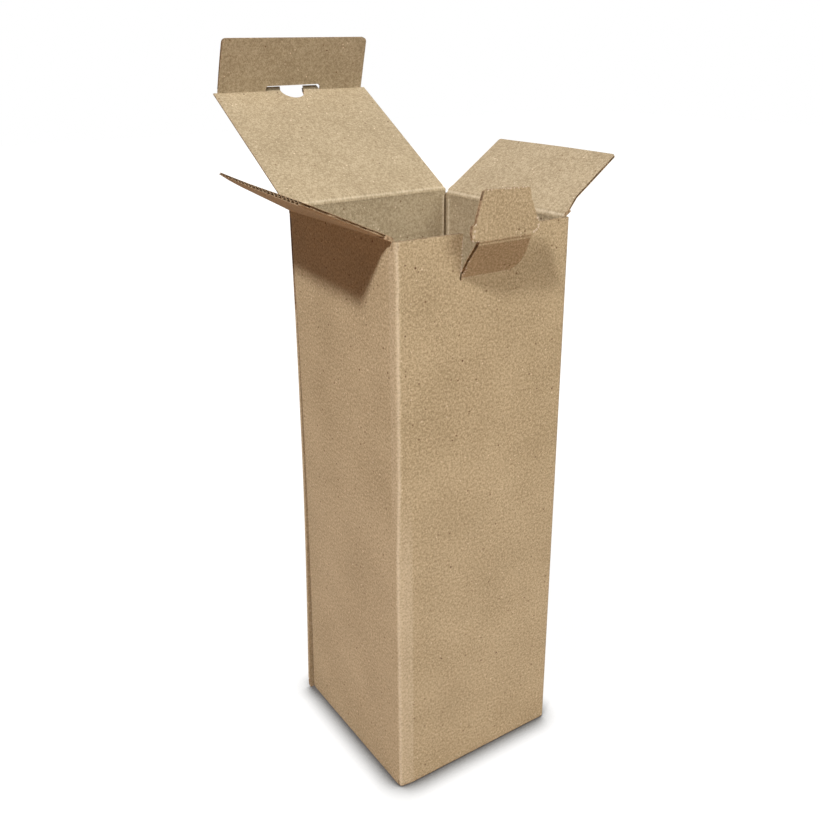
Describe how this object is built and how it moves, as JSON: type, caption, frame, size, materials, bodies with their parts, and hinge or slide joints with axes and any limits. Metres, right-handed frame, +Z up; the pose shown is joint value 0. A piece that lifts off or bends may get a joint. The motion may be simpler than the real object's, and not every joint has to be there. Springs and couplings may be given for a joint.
{
  "type": "cardboard box",
  "caption": "Tall square corrugated box with a hinged tuck lid, dust flaps, a lock tab cut from its front wall and an interlocked bottom, standing open",
  "frame": {"origin": "centre of the base, on the surface that the box stands on", "axes": "+Z up along the box's height, +X to the right along the front wall that carries the lock tab, +Y towards the back wall that carries the lid"},
  "size_m": [0.1455, 0.1623, 0.3133],
  "materials": {
    "board": "matt recycled brown liner with fine light and dark fibres"
  },
  "bodies": {
    "box_body": {"box_body": "board"},
    "lid": {"lid": "board"},
    "tuck_flap": {"tuck_flap": "board"},
    "left_dust_flap": {"left_dust_flap": "board"},
    "right_dust_flap": {"right_dust_flap": "board"},
    "lock_tab": {"lock_tab": "board"},
    "lock_tongue": {"lock_tongue": "board"}
  },
  "joints": [
    {"name": "lid_crease", "type": "hinge", "parent": "box_body", "child": "lid", "pos_m": [0, 0.0416, 0.2458], "axis": [-1, 0, 0], "range_deg": [-148.4, 101.6]},
    {"name": "tuck_crease", "type": "hinge", "parent": "lid", "child": "tuck_flap", "pos_m": [0, 0.11059, 0.28824], "axis": [-1, 0, 0], "range_deg": [-28.1, 20]},
    {"name": "left_dust_crease", "type": "hinge", "parent": "box_body", "child": "left_dust_flap", "pos_m": [-0.0416, 0, 0.244], "axis": [0, -1, 0], "range_deg": [-153.5, 96.5]},
    {"name": "right_dust_crease", "type": "hinge", "parent": "box_body", "child": "right_dust_flap", "pos_m": [0.0416, 0, 0.244], "axis": [0, 1, 0], "range_deg": [-144.6, 105.4]},
    {"name": "tab_crease", "type": "hinge", "parent": "box_body", "child": "lock_tab", "pos_m": [0, -0.0416, 0.2274], "axis": [1, 0, 0], "range_deg": [-33.4, 116.6]},
    {"name": "tongue_crease", "type": "hinge", "parent": "lock_tab", "child": "lock_tongue", "pos_m": [0, -0.05096, 0.24159], "axis": [-1, 0, 0], "range_deg": [-31.1, 58.9]}
  ],
  "couplings": [
    {"joint": "tuck_crease", "follows": "lid_crease", "ratio": 0.189}
  ]
}
